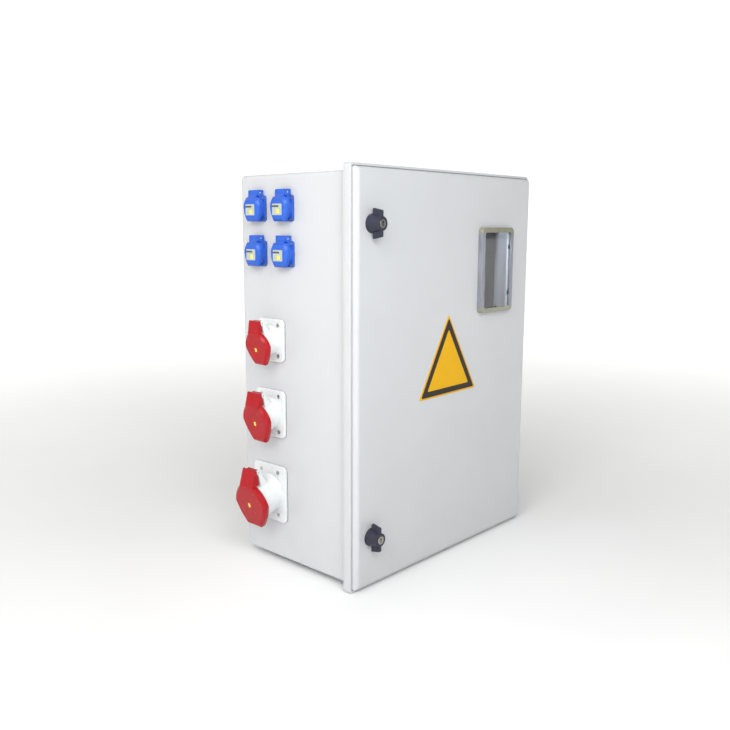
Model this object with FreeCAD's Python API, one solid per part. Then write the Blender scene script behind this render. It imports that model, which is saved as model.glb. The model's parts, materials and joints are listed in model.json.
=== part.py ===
import FreeCAD, Part
import math
import os

# Portable power distribution box: a moulded enclosure with a hinged front door, four domestic
# and three industrial sockets on its left wall, and the switchgear they are fed from inside.
# Millimetres. +X runs to the right along the front, +Y into the box, +Z up.
# The enclosure is drawn with X = 0 at mid width, Y = 0 on the rim's front plane and Z = 0 on the
# standing plane, and every part is moved by FOOTPRINT_SHIFT when it is written.

V = FreeCAD.Vector

# ---------------------------------------------------------------- driving dimensions

# Clearances
RUNNING = 0.05          # radial, shaft in its bore
CLEAR = 0.4             # between parts that move past each other
SEAT = 0.1              # between parts that are assembled face to face in a hole

# Enclosure body
HEIGHT = 750.0          # over the rim
WIDTH = 545.0           # over the rim
DEPTH = 294.0           # rim's front plane to the outside of the back wall
WALL = 4.0
RIM_STEP = 11.0         # rim stands out past the side walls
RIM_DEPTH = 16.0
LIP = 4.5               # thickness of the rim's outer lip
LAND = 4.0              # thickness of the sealing land
LAND_REACH = 12.0       # land inside the walls, on the free sides
LAND_REACH_HINGE = 26.0  # land inside the wall on the hinge side
BODY_CORNER = 7.0
RIM_CORNER = 6.0

# Door
DOOR_GAP = 1.0
DOOR_PROUD = 10.0       # door's face in front of the rim plane
DOOR_WALL = 4.0
DOOR_ROUND = 9.0        # rounding of the door's front edges
DOOR_SKIRT_BACK = 3.0   # Y where the door's skirt ends
GASKET_WIDTH = 6.0
GASKET_FREE = 0.4       # gasket to sealing land
GASKET_DEPTH = 6.0

# Door hinges
HINGE_HEIGHTS = (120.0, HEIGHT / 2, HEIGHT - 120.0)
HINGE_PIN_R = 2.0
HINGE_KNUCKLE_R = 3.6
HINGE_KNUCKLE_LENGTH = 26.0
HINGE_LUG_LENGTH = 9.0
HINGE_ARM = 2.5         # thickness of the bracket's goose neck

# Door locks
LOCK_INSET = 42.5       # lock axis from the rim's left edge
LOCK_HEIGHTS = {"upper": HEIGHT - 99.0, "lower": 99.0}
KNOB_BASE_R = 16.3
KNOB_NOSE_R = 12.2
KNOB_LENGTH = 25.0
KNOB_RIM = 3.0          # straight rim in front of the knob's cone
WING_SPAN_BACK = 52.0
WING_SPAN_FRONT = 44.0
WING_THICKNESS = 7.0
LOCK_BARREL_R = 7.5
LOCK_SHAFT_R = 7.0
LOCK_BUSH_R = 11.0
CAM_THICKNESS = 3.5
CAM_REACH = 24.0
CAM_WIDTH = 14.0
CAM_GAP = 2.0           # cam behind the sealing land

# Window
WINDOW_X = WIDTH / 2 - 134.5    # centre
WINDOW_Z = HEIGHT - 189.5
WINDOW_WIDTH = 112.0
WINDOW_HEIGHT = 169.0
WINDOW_PROUD = 10.5
WINDOW_BORDER = 10.0
WINDOW_CORNER = 9.0
PANE_THICKNESS = 3.0
PANE_REBATE = 3.0

# Triangular plate on the door
PLATE_SIDE = 178.0      # before its corners are rounded
PLATE_X = -9.0
PLATE_Z = HEIGHT - 372.0
PLATE_TILT = 0.8
PLATE_THICKNESS = 1.0
PLATE_CORNER = 2.5

# Domestic sockets, in two columns and two rows
DOMESTIC_Y = (DEPTH - 124.7, DEPTH - 50.5)
DOMESTIC_Z = (HEIGHT - 72.0, HEIGHT - 153.5)
DOMESTIC_WELL_R = 19.0
DOMESTIC_WELL_DEPTH = 16.0
DOMESTIC_CUP_SKIN = 1.9     # wall of the rear cup
DOMESTIC_CUP_DEPTH = 30.0
DOMESTIC_COLLAR_SKIN = 2.5
DOMESTIC_COLLAR_FRONT = 8.5
DOMESTIC_FLANGE_MARGIN = (1.6, 2.6)     # flange beyond the cup, across and upwards
DOMESTIC_FLANGE_T = 3.0
CUP_GAP = 0.4           # round a socket's rear cup in its hole in the wall

# Industrial sockets, from the top down: flange width and height, outline and reach of each.
# "reach" is the collar's front along its own axis, which slopes down by INDUSTRIAL_SLOPE.
INDUSTRIAL_SLOPE = 13.0
INDUSTRIAL = (
    {"amps": 16, "y": DEPTH - 84.0, "z": HEIGHT * 0.5824, "flange": (70.0, 80.0), "pitch": (40.0, 57.0),
     "drum_r": 25.0, "reach": 33.0, "well_r": 22.5, "pin_r": 2.5,
     "lid_r": 32.0, "lid": 10.0, "neck": 14.5, "neck_t": 25.0, "foot": 13.5, "foot_t": -36.0,
     "hinge_s": 26.5, "hinge_t": 41.5},
    {"amps": 32, "y": DEPTH - 79.6, "z": HEIGHT * 0.3963, "flange": (80.0, 90.0), "pitch": (47.0, 68.0),
     "drum_r": 29.0, "reach": 34.5, "well_r": 26.5, "pin_r": 3.0,
     "lid_r": 36.0, "lid": 10.5, "neck": 18.5, "neck_t": 30.0, "foot": 15.5, "foot_t": -43.5,
     "hinge_s": 25.5, "hinge_t": 46.5},
    {"amps": 63, "y": DEPTH - 74.6, "z": HEIGHT * 0.1873, "flange": (91.0, 110.0), "pitch": (47.0, 83.0),
     "drum_r": 35.2, "reach": 46.0, "well_r": 32.5, "pin_r": 4.0,
     "lid_r": 43.0, "lid": 12.0, "neck": 18.5, "neck_t": 36.0, "foot": 18.5, "foot_t": -47.0,
     "hinge_s": 34.0, "hinge_t": 59.0},
)
LID_GAP = 0.5           # collar's front to the closed lid
INDUSTRIAL_BEVEL = 4.0
INDUSTRIAL_FLANGE_T = 4.5
INDUSTRIAL_CUP_DEPTH = 32.0
SOCKET_GASKET = 1.0
SOCKET_SCREW_R = 2.0
DOMESTIC_SCREW_R = 1.6
GASKET_INSET = 0.3      # gasket's edge inside its flange's edge
DOMESTIC_FLANGE_CORNER = 5.0
INDUSTRIAL_FLANGE_CORNER = 9.0
SOCKET_SCREW_EDGE = 4.5  # screw's axis to the flange's edge, domestic sockets

# Lid hinges, shared by both kinds of socket
LID_PIN_R = 1.5
LID_EAR = 4.0           # ear thickness
KNUCKLE_SKIN = 0.6      # knuckle's wall round its spring

# Mounting plate, posts and cover panel inside
PLATE_T = 2.5
PLATE_BACK_GAP = 26.0   # plate's back to the back wall
PLATE_INSET_X = 56.0    # plate's edge to the wall's inside
PLATE_INSET_Z = 45.0
POST_R = 6.0
COVER_Y = 57.5          # front of the cover panel
COVER_T = 2.5
COVER_GAP_LEFT = 42.5    # cover panel's edges to the walls' insides
COVER_GAP_RIGHT = 17.5
COVER_GAP_BOTTOM = 45.0
COVER_GAP_TOP = 30.0
COVER_POST_BOTTOM = 60.0  # cover posts' height over the panel's lower edge
COVER_POST_TOP = 65.0
TERMINAL_HEIGHTS = (150.0, 200.0)
TERMINAL_SIDE = 12.0
DUCT_LEFT = -120.0
DUCT_RIGHT = 150.0
DUCT_BOTTOM = 300.0
DUCT_HEIGHT = 40.0
DUCT_DEEP = 60.0

# Row of devices on one top-hat rail
RAIL_Z = HEIGHT - 190.0
RAIL_DEVICE_RIGHT = 180.0
MODULE = 18.0
MODULE_GAP = 0.3
NOSE_PROUD = 4.5        # device noses in front of the cover panel
NOSE_HEIGHT = 45.0
DEVICE_HEIGHT = 88.0
DEVICE_SHOULDER = 21.0  # nose front to shoulder
DEVICE_DEPTH = 65.0     # nose front to rail
TOGGLE_R = 8.0
TOGGLE_LEVER = 9.0
TOGGLE_THROW = 70.0
BUTTON_SIDE = 8.0
BUTTON_TRAVEL = 1.5

# Supply inlet on the right wall
GLAND_Y = DEPTH - 94.0
GLAND_Z = 90.0
GLAND_BORE_R = 14.0
GLAND_THREAD_R = 20.0
GLAND_FLATS = 50.0
GLAND_BODY_LENGTH = 12.0
GLAND_CAP_LENGTH = 22.0

# Wall fixing holes in the back, and feet
FIXING_INSET = 30.0
FIXING_R = 4.5
FOOT_R = 16.0
FOOT_X = WIDTH / 2 - 82.5
FOOT_Y = (70.0, DEPTH - 44.0)

# ---------------------------------------------------------------- derived places

HALF = WIDTH / 2
BODY_HALF = HALF - RIM_STEP
INSIDE_HALF = BODY_HALF - WALL
BODY_BOTTOM = RIM_STEP
BODY_TOP = HEIGHT - RIM_STEP
INSIDE_BOTTOM = BODY_BOTTOM + WALL
INSIDE_TOP = BODY_TOP - WALL
BACK_INSIDE = DEPTH - WALL
LAND_FRONT = RIM_DEPTH - LAND

DOOR_HALF = HALF - LIP - DOOR_GAP
DOOR_BOTTOM = LIP + DOOR_GAP
DOOR_TOP = HEIGHT - LIP - DOOR_GAP
DOOR_FRONT = -DOOR_PROUD
DOOR_INSIDE = DOOR_FRONT + DOOR_WALL
HINGE_X = DOOR_HALF - DOOR_ROUND
HINGE_Y = DOOR_FRONT + DOOR_ROUND

# Sealing ring of the door: outer edges of the gasket
SEAL_LEFT = -(INSIDE_HALF - 2.0)
SEAL_RIGHT = INSIDE_HALF - LAND_REACH_HINGE + 2.5 + GASKET_WIDTH
SEAL_BOTTOM = INSIDE_BOTTOM + 2.0
SEAL_TOP = INSIDE_TOP - 2.0
GASKET_BACK = LAND_FRONT - GASKET_FREE
GASKET_FRONT = GASKET_BACK - GASKET_DEPTH

LOCK_X = -HALF + LOCK_INSET
CAM_FRONT = RIM_DEPTH + CAM_GAP

PLATE_BACK = BACK_INSIDE - PLATE_BACK_GAP
PLATE_FRONT = PLATE_BACK - PLATE_T
PLATE_HALF = INSIDE_HALF - PLATE_INSET_X
PLATE_BOTTOM = INSIDE_BOTTOM + PLATE_INSET_Z
PLATE_TOP = INSIDE_TOP - PLATE_INSET_Z
PLATE_SCREW_X = PLATE_HALF - 14.0
PLATE_SCREW_Z = (PLATE_BOTTOM + 14.0, PLATE_TOP - 14.0)

NOSE_FRONT = COVER_Y - NOSE_PROUD
RAIL_FRONT = NOSE_FRONT + DEVICE_DEPTH
RAIL_LIP = 1.0
RAIL_DEEP = 7.5
UPRIGHT_FRONT = RAIL_FRONT + RAIL_DEEP
UPRIGHT_T = 3.0
UPRIGHT_X = PLATE_HALF - 36.5
UPRIGHT_Z = (RAIL_Z - 130.0, RAIL_Z + 130.0)
RAIL_HALF = RAIL_DEVICE_RIGHT + 5.0

COVER_LEFT = -INSIDE_HALF + COVER_GAP_LEFT
COVER_RIGHT = INSIDE_HALF - COVER_GAP_RIGHT
COVER_BOTTOM = INSIDE_BOTTOM + COVER_GAP_BOTTOM
COVER_TOP = INSIDE_TOP - COVER_GAP_TOP

LARGEST = INDUSTRIAL[-1]
SLOPE_RADIANS = math.radians(INDUSTRIAL_SLOPE)
LID_REACH = (LARGEST["reach"] + LID_GAP + LARGEST["lid"]) * math.cos(SLOPE_RADIANS)
LID_REACH = LID_REACH + (LARGEST["neck_t"] - INDUSTRIAL_BEVEL) * math.sin(SLOPE_RADIANS)
FOOTPRINT_LEFT = -BODY_HALF - LID_REACH
FOOTPRINT_RIGHT = BODY_HALF + GLAND_BODY_LENGTH + GLAND_CAP_LENGTH
FOOTPRINT_SHIFT = V(
    -(FOOTPRINT_LEFT + FOOTPRINT_RIGHT) / 2,
    -(DOOR_FRONT - KNOB_LENGTH + DEPTH) / 2,
    0,
)


# ---------------------------------------------------------------- shape helpers

def slab(x0, x1, y0, y1, z0, z1):
    """Box between two corners."""
    return Part.makeBox(x1 - x0, y1 - y0, z1 - z0, V(x0, y0, z0))


def along_y(x, z, y0, y1, r):
    """Cylinder along Y."""
    return Part.makeCylinder(r, y1 - y0, V(x, y0, z), V(0, 1, 0))


def along_x(y, z, x0, x1, r):
    """Cylinder along X."""
    return Part.makeCylinder(r, x1 - x0, V(x0, y, z), V(1, 0, 0))


def along_z(x, y, z0, z1, r):
    """Cylinder along Z."""
    return Part.makeCylinder(r, z1 - z0, V(x, y, z0))


def prism(points, direction):
    """Closed polygon pushed along a direction."""
    loop = Part.makePolygon([V(*p) for p in points] + [V(*points[0])])
    return Part.Face(loop).extrude(V(*direction))


def rounded_slab(x0, x1, z0, z1, y0, y1, r):
    """Slab whose four edges along Y are rounded."""
    body = slab(x0, x1, y0, y1, z0, z1)
    edges = [e for e in body.Edges if abs(e.tangentAt(e.FirstParameter).y) > 0.99]
    return body.makeFillet(r, edges)


def ring_slab(outer, inner, y0, y1, r_outer, r_inner):
    """Rectangular ring; outer and inner are (x0, x1, z0, z1)."""
    whole = rounded_slab(*outer, y0, y1, r_outer)
    return whole.cut(rounded_slab(*inner, y0 - 1, y1 + 1, r_inner))


def hexagon_x(y, z, x0, x1, flats):
    """Hexagonal prism along X."""
    corner = flats / math.sqrt(3)
    turns = [math.radians(60 * k) for k in range(6)]
    points = [(x0, y + corner * math.cos(a), z + corner * math.sin(a)) for a in turns]
    return prism(points, (x1 - x0, 0, 0))


def edges_at(shape, test):
    """Edges whose whole length passes a test on its points."""
    found = []
    for edge in shape.Edges:
        if all(test(p) for p in edge.discretize(5)):
            found.append(edge)
    return found


def fuse_all(shapes):
    """One solid from overlapping pieces."""
    whole = shapes[0].multiFuse(shapes[1:])
    return whole.removeSplitter()


def cut_all(shape, tools):
    """Shape less every tool."""
    for tool in tools:
        shape = shape.cut(tool)
    return shape


PARTS = {}


def keep(name, shapes):
    """Keep a node made of one or more separate solids."""
    group = shapes if isinstance(shapes, list) else [shapes]
    solids = []
    for shape in group:
        solids.extend(shape.Solids)
    PARTS[name] = solids


# ---------------------------------------------------------------- sockets: shared places

def tilted(shape, slope):
    """Turn a socket's outer parts so that their axis slopes down."""
    shape.rotate(V(0, 0, 0), V(0, 1, 0), slope)
    return shape


def on_left_wall(shape, y, z):
    """Place a shape drawn facing +X onto the left wall."""
    shape.rotate(V(0, 0, 0), V(0, 0, 1), 180)
    shape.translate(V(-BODY_HALF, y, z))
    return shape


def lid_axis(y, z, s, t, slope):
    """World point on a lid's hinge axis, from its place in the socket's own frame."""
    a = math.radians(slope)
    out = s * math.cos(a) + t * math.sin(a)
    up = -s * math.sin(a) + t * math.cos(a)
    return V(-BODY_HALF - out, y, z + up)


def lid_outline(r, neck, neck_t, foot, foot_t, s):
    """Outline of a lid: a neck, bowed shoulders, straighter lower sides and a flat foot."""
    shoulder = ((neck + r) / 2 + 0.10 * r, neck_t / 2 + 0.06 * r)
    shin = ((foot + r) / 2 + 0.06 * r, foot_t / 2 - 0.03 * r)
    edges = []
    for side in (-1, 1):
        upper = Part.Arc(
            V(s, side * neck, neck_t), V(s, side * shoulder[0], shoulder[1]), V(s, side * r, 0)
        )
        lower = Part.Arc(V(s, side * r, 0), V(s, side * shin[0], shin[1]), V(s, side * foot, foot_t))
        edges.append([upper.toShape(), lower.toShape()])
    foot_line = Part.makeLine(V(s, -foot, foot_t), V(s, foot, foot_t))
    neck_line = Part.makeLine(V(s, neck, neck_t), V(s, -neck, neck_t))
    left, right = edges
    return Part.Wire([left[0], left[1], foot_line, right[1], right[0], neck_line])


def hinge_ears(profile, inner):
    """Two ears that carry a lid's pin, from their outline in the socket's (s, t) plane."""
    ears = []
    for side in (-1, 1):
        v0 = inner if side > 0 else -inner - LID_EAR
        ears.append(prism([(s, v0, t) for s, t in profile], (0, LID_EAR, 0)))
    return ears


def lid_shape(spec):
    """A lid: hollow bowed cap, cover plate over the hinge, and one knuckle with its bore."""
    s0, s1, bevel = spec["back"], spec["front"], spec["bevel"]
    sides = (spec["r"], spec["neck"], spec["neck_t"], spec["foot"], spec["foot_t"])
    drawn_in = (
        spec["r"] - bevel, spec["neck"] - bevel * 0.5, spec["neck_t"] - bevel,
        spec["foot"] - bevel * 0.5, spec["foot_t"] + bevel,
    )
    cap = Part.Face(lid_outline(*sides, s0)).extrude(V(s1 - bevel - s0, 0, 0))
    crown = Part.makeLoft([lid_outline(*sides, s1 - bevel), lid_outline(*drawn_in, s1)], True)
    cap = cap.fuse(crown)
    recess = Part.makeCylinder(spec["recess_r"], spec["recess"], V(s0 - 0.01, 0, 0), V(1, 0, 0))
    cap = cap.cut(recess)
    s, t, knuckle_r = spec["hinge_s"], spec["hinge_t"], spec["knuckle_r"]
    half, cover_half = spec["knuckle_half"], spec["cover_half"]
    cover = prism([(a, -cover_half, b) for a, b in spec["cover"]], (0, 2 * cover_half, 0))
    knuckle = Part.makeCylinder(knuckle_r, 2 * half, V(s, -half, t), V(0, 1, 0))
    bridge = slab(s, spec["bridge_s"], -half, half, t - knuckle_r, t + knuckle_r)
    lid = fuse_all([cap, cover, knuckle, bridge])
    bore = Part.makeCylinder(LID_PIN_R + RUNNING, 2 * half + 2, V(s, -half - 1, t), V(0, 1, 0))
    slot_r = knuckle_r - KNUCKLE_SKIN
    spring_slot = Part.makeCylinder(slot_r, 8, V(s, -4, t), V(0, 1, 0))
    return lid.cut(bore).cut(spring_slot)


def lid_pin(s, t, half):
    """Hinge pin of a lid."""
    return Part.makeCylinder(LID_PIN_R, 2 * half, V(s, -half, t), V(0, 1, 0))


def lid_spring(s, t):
    """Coiled return spring round the pin, as a sleeve of its outer size."""
    outer = Part.makeCylinder(LID_PIN_R + 1.1, 7, V(s, -3.5, t), V(0, 1, 0))
    return outer.cut(Part.makeCylinder(LID_PIN_R + 0.2, 8, V(s, -4, t), V(0, 1, 0)))


def flange_plate(width, height, thick, corner, pitch_y, pitch_z, screw_r):
    """Socket flange on the wall, facing +X, with four countersunk screw holes."""
    plate = slab(SOCKET_GASKET, SOCKET_GASKET + thick, -width / 2, width / 2, -height / 2, height / 2)
    long_edges = [e for e in plate.Edges if abs(e.tangentAt(e.FirstParameter).x) > 0.99]
    plate = plate.makeFillet(corner, long_edges)
    front = SOCKET_GASKET + thick
    plate = plate.makeFillet(1.2, edges_at(plate, lambda p: abs(p.x - front) < 1e-6))
    for y, z in corners_of(pitch_y, pitch_z):
        plate = plate.cut(along_x(y, z, -1, front + 1, screw_r + 0.2))
        plate = plate.cut(along_x(y, z, front - 1.6, front + 1, screw_r * 2))
    return plate


def corners_of(pitch_y, pitch_z):
    """The four corners of a rectangular hole pattern about the origin."""
    return [(y * pitch_y / 2, z * pitch_z / 2) for y in (-1, 1) for z in (-1, 1)]


def flange_gasket(width, height, corner, hole_r, pitch_y, pitch_z, screw_r):
    """Flat rubber gasket between a socket flange and the wall."""
    half_y, half_z = width / 2 - GASKET_INSET, height / 2 - GASKET_INSET
    sheet = slab(0, SOCKET_GASKET, -half_y, half_y, -half_z, half_z)
    thin_edges = [e for e in sheet.Edges if abs(e.tangentAt(e.FirstParameter).x) > 0.99]
    sheet = sheet.makeFillet(corner - GASKET_INSET, thin_edges)
    sheet = sheet.cut(along_x(0, 0, -1, 2, hole_r + SEAT))
    for y, z in corners_of(pitch_y, pitch_z):
        sheet = sheet.cut(along_x(y, z, -1, 2, screw_r + SEAT))
    return sheet


def flange_screw(y, z, thick, screw_r):
    """Countersunk-style screw through the flange and the wall."""
    head0 = SOCKET_GASKET + thick - 1.5
    head_r = screw_r * 1.9
    head = along_x(y, z, head0, head0 + 1.3, head_r)
    slot = slab(head0 + 0.7, head0 + 2, y - head_r * 0.7, y + head_r * 0.7, z - 0.4, z + 0.4)
    shank = along_x(y, z, -WALL - 5, head0 + 0.2, screw_r)
    return head.fuse(shank).cut(slot)


# ---------------------------------------------------------------- domestic sockets

DOMESTIC_CUP_R = DOMESTIC_WELL_R + DOMESTIC_CUP_SKIN
DOMESTIC_COLLAR_R = DOMESTIC_WELL_R + DOMESTIC_COLLAR_SKIN
DOMESTIC_FLANGE = [2 * (DOMESTIC_CUP_R + margin) for margin in DOMESTIC_FLANGE_MARGIN]
DOMESTIC_SCREW_PITCH = [side - 2 * SOCKET_SCREW_EDGE for side in DOMESTIC_FLANGE]
DOMESTIC_LID_R = DOMESTIC_COLLAR_R + 1.0
DOMESTIC_HINGE_T = DOMESTIC_LID_R + 5.5
DOMESTIC_BLOCK_TOP = DOMESTIC_HINGE_T + 5.3
DOMESTIC_BLOCK_FRONT = 12.0
DOMESTIC_LID_BACK = DOMESTIC_COLLAR_FRONT + SOCKET_GASKET + LID_GAP
DOMESTIC_KNUCKLE_HALF = 10.5
DOMESTIC_LID = {
    "back": DOMESTIC_LID_BACK,
    "front": 21.0,
    "r": DOMESTIC_LID_R,
    "neck": DOMESTIC_KNUCKLE_HALF + CLEAR + LID_EAR,
    "neck_t": DOMESTIC_LID_R - 2.5,
    "foot": DOMESTIC_LID_R * 0.6,
    "foot_t": -DOMESTIC_LID_R - 0.8,
    "bevel": 4.5,
    "recess_r": DOMESTIC_WELL_R - 1.5,
    "recess": 7.5,
    "hinge_s": 8.5,
    "hinge_t": DOMESTIC_HINGE_T,
    "knuckle_r": 3.4,
    "knuckle_half": DOMESTIC_KNUCKLE_HALF,
    "bridge_s": DOMESTIC_LID_BACK + 0.5,
    "cover_half": DOMESTIC_KNUCKLE_HALF,
    "cover": [
        (DOMESTIC_LID_BACK, DOMESTIC_LID_R - 4.3),
        (17.0, DOMESTIC_LID_R - 4.3),
        (17.0, DOMESTIC_LID_R - 2.5),
        (12.5, DOMESTIC_HINGE_T - 3.0),
        (DOMESTIC_BLOCK_FRONT, DOMESTIC_BLOCK_TOP),
        (DOMESTIC_LID_BACK, DOMESTIC_BLOCK_TOP),
    ],
}


def domestic_socket():
    """Housing of a round two-pole socket with earth clips: flange, collar, well and rear cup."""
    front = DOMESTIC_COLLAR_FRONT + SOCKET_GASKET
    flange = flange_plate(
        *DOMESTIC_FLANGE, DOMESTIC_FLANGE_T, DOMESTIC_FLANGE_CORNER,
        *DOMESTIC_SCREW_PITCH, DOMESTIC_SCREW_R,
    )
    collar = along_x(0, 0, SOCKET_GASKET, front, DOMESTIC_COLLAR_R)
    cup = along_x(0, 0, -DOMESTIC_CUP_DEPTH, SOCKET_GASKET + 0.5, DOMESTIC_CUP_R)
    ear_back, ear_foot = SOCKET_GASKET + 0.5, DOMESTIC_COLLAR_R - 6.5
    ear_profile = [
        (ear_back, ear_foot),
        (front - 0.2, ear_foot),
        (front - 0.2, DOMESTIC_LID["neck_t"] + 1.0),
        (DOMESTIC_BLOCK_FRONT, DOMESTIC_LID["neck_t"] + 1.9),
        (DOMESTIC_BLOCK_FRONT, DOMESTIC_BLOCK_TOP - 1.8),
        (DOMESTIC_BLOCK_FRONT - 1.5, DOMESTIC_BLOCK_TOP),
        (ear_back, DOMESTIC_BLOCK_TOP),
    ]
    ears = hinge_ears(ear_profile, DOMESTIC_KNUCKLE_HALF + CLEAR)
    body = fuse_all([flange, collar, cup] + ears)
    top = SOCKET_GASKET + DOMESTIC_FLANGE_T
    for y, z in corners_of(*DOMESTIC_SCREW_PITCH):
        body = body.cut(along_x(y, z, top - 1.6, front + 8, DOMESTIC_SCREW_R * 2))
        body = body.cut(along_x(y, z, -1, front, DOMESTIC_SCREW_R + 0.2))
    floor = front - DOMESTIC_WELL_DEPTH
    well = along_x(0, 0, floor, front + 1, DOMESTIC_WELL_R)
    terminals = along_x(0, 0, -DOMESTIC_CUP_DEPTH + 10, floor - 4, DOMESTIC_CUP_R - 2)
    holes = [along_x(y, 0, floor - 6, floor + 1, 2.7) for y in (-9.5, 9.5)]
    clip_z = DOMESTIC_WELL_R - 0.1
    clips = [slab(floor, front - 2, -3.2, 3.2, z - 1.2, z + 1.2) for z in (-clip_z, clip_z)]
    pin_place = V(DOMESTIC_LID["hinge_s"], -30, DOMESTIC_LID["hinge_t"])
    pin = Part.makeCylinder(LID_PIN_R + SEAT, 60, pin_place, V(0, 1, 0))
    return cut_all(body, [well, terminals] + holes + clips + [pin])


def domestic_contacts():
    """Two earth clips in the well's wall and two contact sleeves behind its floor."""
    front = DOMESTIC_COLLAR_FRONT + SOCKET_GASKET
    floor = front - DOMESTIC_WELL_DEPTH
    pieces = []
    for z in (-1, 1):
        z0 = z * (DOMESTIC_WELL_R + 0.5)
        pieces.append(slab(floor + 0.3, front - 2.3, -2.8, 2.8, z0 - 0.35, z0 + 0.35))
    for y in (-9.5, 9.5):
        sleeve = along_x(y, 0, floor - 13, floor - 4.3, 3.6).cut(along_x(y, 0, floor - 11, floor, 2.4))
        pieces.append(sleeve)
    return pieces


# ---------------------------------------------------------------- industrial sockets

def industrial_lid(kind):
    """Sizes of one industrial socket's lid."""
    knuckle_r = 5.0
    hinge_s, hinge_t, neck_t = kind["hinge_s"], kind["hinge_t"], kind["neck_t"]
    back = kind["reach"] + LID_GAP
    front = back + kind["lid"]
    cover_back = hinge_s + knuckle_r + CLEAR
    cover_top = hinge_t + 6.0
    over_drum = kind["drum_r"] + 1.5
    return {
        "back": back,
        "front": front,
        "r": kind["lid_r"],
        "neck": kind["neck"],
        "neck_t": neck_t,
        "foot": kind["foot"],
        "foot_t": kind["foot_t"],
        "bevel": INDUSTRIAL_BEVEL,
        "recess_r": kind["well_r"],
        "recess": kind["lid"] - 3.0,
        "hinge_s": hinge_s,
        "hinge_t": hinge_t,
        "knuckle_r": knuckle_r,
        "knuckle_half": kind["neck"] - LID_EAR - 1.5,
        "bridge_s": cover_back + 0.5,
        "cover_half": kind["neck"],
        "cover": [
            (back, neck_t - 1.0),
            (front - 0.5, neck_t - 5.0),
            (front - 0.5, neck_t),
            (cover_back + 2.6, cover_top),
            (cover_back, cover_top),
            (cover_back, over_drum),
            (back, over_drum),
        ],
    }


def industrial_drum(kind):
    """Outside of the sloping drum, cut off flat at the flange."""
    drum_r = kind["drum_r"]
    drum = along_x(0, 0, -20, kind["reach"], drum_r)
    foot = Part.makeCone(drum_r + 4.0, drum_r, 16, V(0, 0, 0), V(1, 0, 0))
    outer = tilted(drum.fuse(foot), INDUSTRIAL_SLOPE)
    base = SOCKET_GASKET + 0.5
    return outer.cut(slab(-100, base, -100, 100, -100, 100))


def industrial_ears(kind):
    """Ears of one industrial socket, standing on its drum."""
    lid = industrial_lid(kind)
    s, t = lid["hinge_s"], lid["hinge_t"]
    inner = lid["knuckle_half"] + CLEAR
    outer = inner + LID_EAR
    foot_t = math.sqrt(kind["drum_r"] ** 2 - outer ** 2) - 1.5
    eye_r = 4.6
    profile = [(s - 14.0, foot_t), (s + 2.0, foot_t), (s + 2.0, t), (s - eye_r, t)]
    ears = []
    for ear in hinge_ears(profile, inner):
        v0 = ear.BoundBox.YMin
        eye = Part.makeCylinder(eye_r, LID_EAR, V(s, v0, t), V(0, 1, 0))
        ears.append(tilted(ear.fuse(eye), INDUSTRIAL_SLOPE))
    return ears


def industrial_cup_r(kind):
    """Radius of the part behind the wall."""
    return kind["well_r"] + 3.0


def industrial_socket(kind):
    """Housing of an industrial socket: flange, sloping drum with its well, ears and rear cup."""
    width, height = kind["flange"]
    flange = flange_plate(
        width, height, INDUSTRIAL_FLANGE_T, INDUSTRIAL_FLANGE_CORNER, *kind["pitch"], SOCKET_SCREW_R,
    )
    drum = industrial_drum(kind)
    top = SOCKET_GASKET + INDUSTRIAL_FLANGE_T
    for y, z in corners_of(*kind["pitch"]):
        drum = drum.cut(along_x(y, z, top - 1.6, 200, SOCKET_SCREW_R * 2 + 1))
        drum = drum.cut(along_x(y, z, -1, 200, SOCKET_SCREW_R + 0.2))
    cup = along_x(0, 0, -INDUSTRIAL_CUP_DEPTH, SOCKET_GASKET + 1, industrial_cup_r(kind))
    body = fuse_all([flange, drum, cup] + industrial_ears(kind))
    well = tilted(along_x(0, 0, -1.5, kind["reach"] + 1, kind["well_r"]), INDUSTRIAL_SLOPE)
    terminals = along_x(0, 0, -INDUSTRIAL_CUP_DEPTH - 1, -12, industrial_cup_r(kind) - 2.5)
    pin_place = V(kind["hinge_s"], -50, kind["hinge_t"])
    pin = Part.makeCylinder(LID_PIN_R + SEAT, 100, pin_place, V(0, 1, 0))
    pin = tilted(pin, INDUSTRIAL_SLOPE)
    return cut_all(body, [well, terminals, pin])


def contact_places(kind):
    """Five contacts on a circle, with the earth contact at the bottom."""
    ring = kind["well_r"] * 0.43
    turns = [math.radians(-90 + 72 * k) for k in range(5)]
    return [(ring * math.cos(a), ring * math.sin(a)) for a in turns]


def industrial_insert(kind):
    """Insulating barrel that stands in the well and holds the contacts, and its retaining ring."""
    barrel_r = kind["well_r"] * 0.66
    barrel = along_x(0, 0, -1.3, kind["reach"] - 6, barrel_r)
    for y, z in contact_places(kind):
        barrel = barrel.cut(along_x(y, z, 2, kind["reach"], kind["pin_r"] + 1.2))
    key = slab(4.1, kind["reach"], -2, 2, -kind["well_r"] * 0.7, -kind["well_r"] * 0.6)
    ring = along_x(0, 0, -1.3, 4, kind["well_r"] - SEAT)
    ring = ring.cut(along_x(0, 0, -2, 5, barrel_r + SEAT))
    return [tilted(barrel.cut(key), INDUSTRIAL_SLOPE), tilted(ring, INDUSTRIAL_SLOPE)]


def industrial_contacts(kind):
    """Five contact sleeves inside the barrel."""
    sleeves = []
    for y, z in contact_places(kind):
        sleeve = along_x(y, z, 2.2, kind["reach"] - 9, kind["pin_r"] + 1.0)
        sleeve = sleeve.cut(along_x(y, z, 4, kind["reach"], kind["pin_r"]))
        sleeves.append(tilted(sleeve, INDUSTRIAL_SLOPE))
    return sleeves


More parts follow.
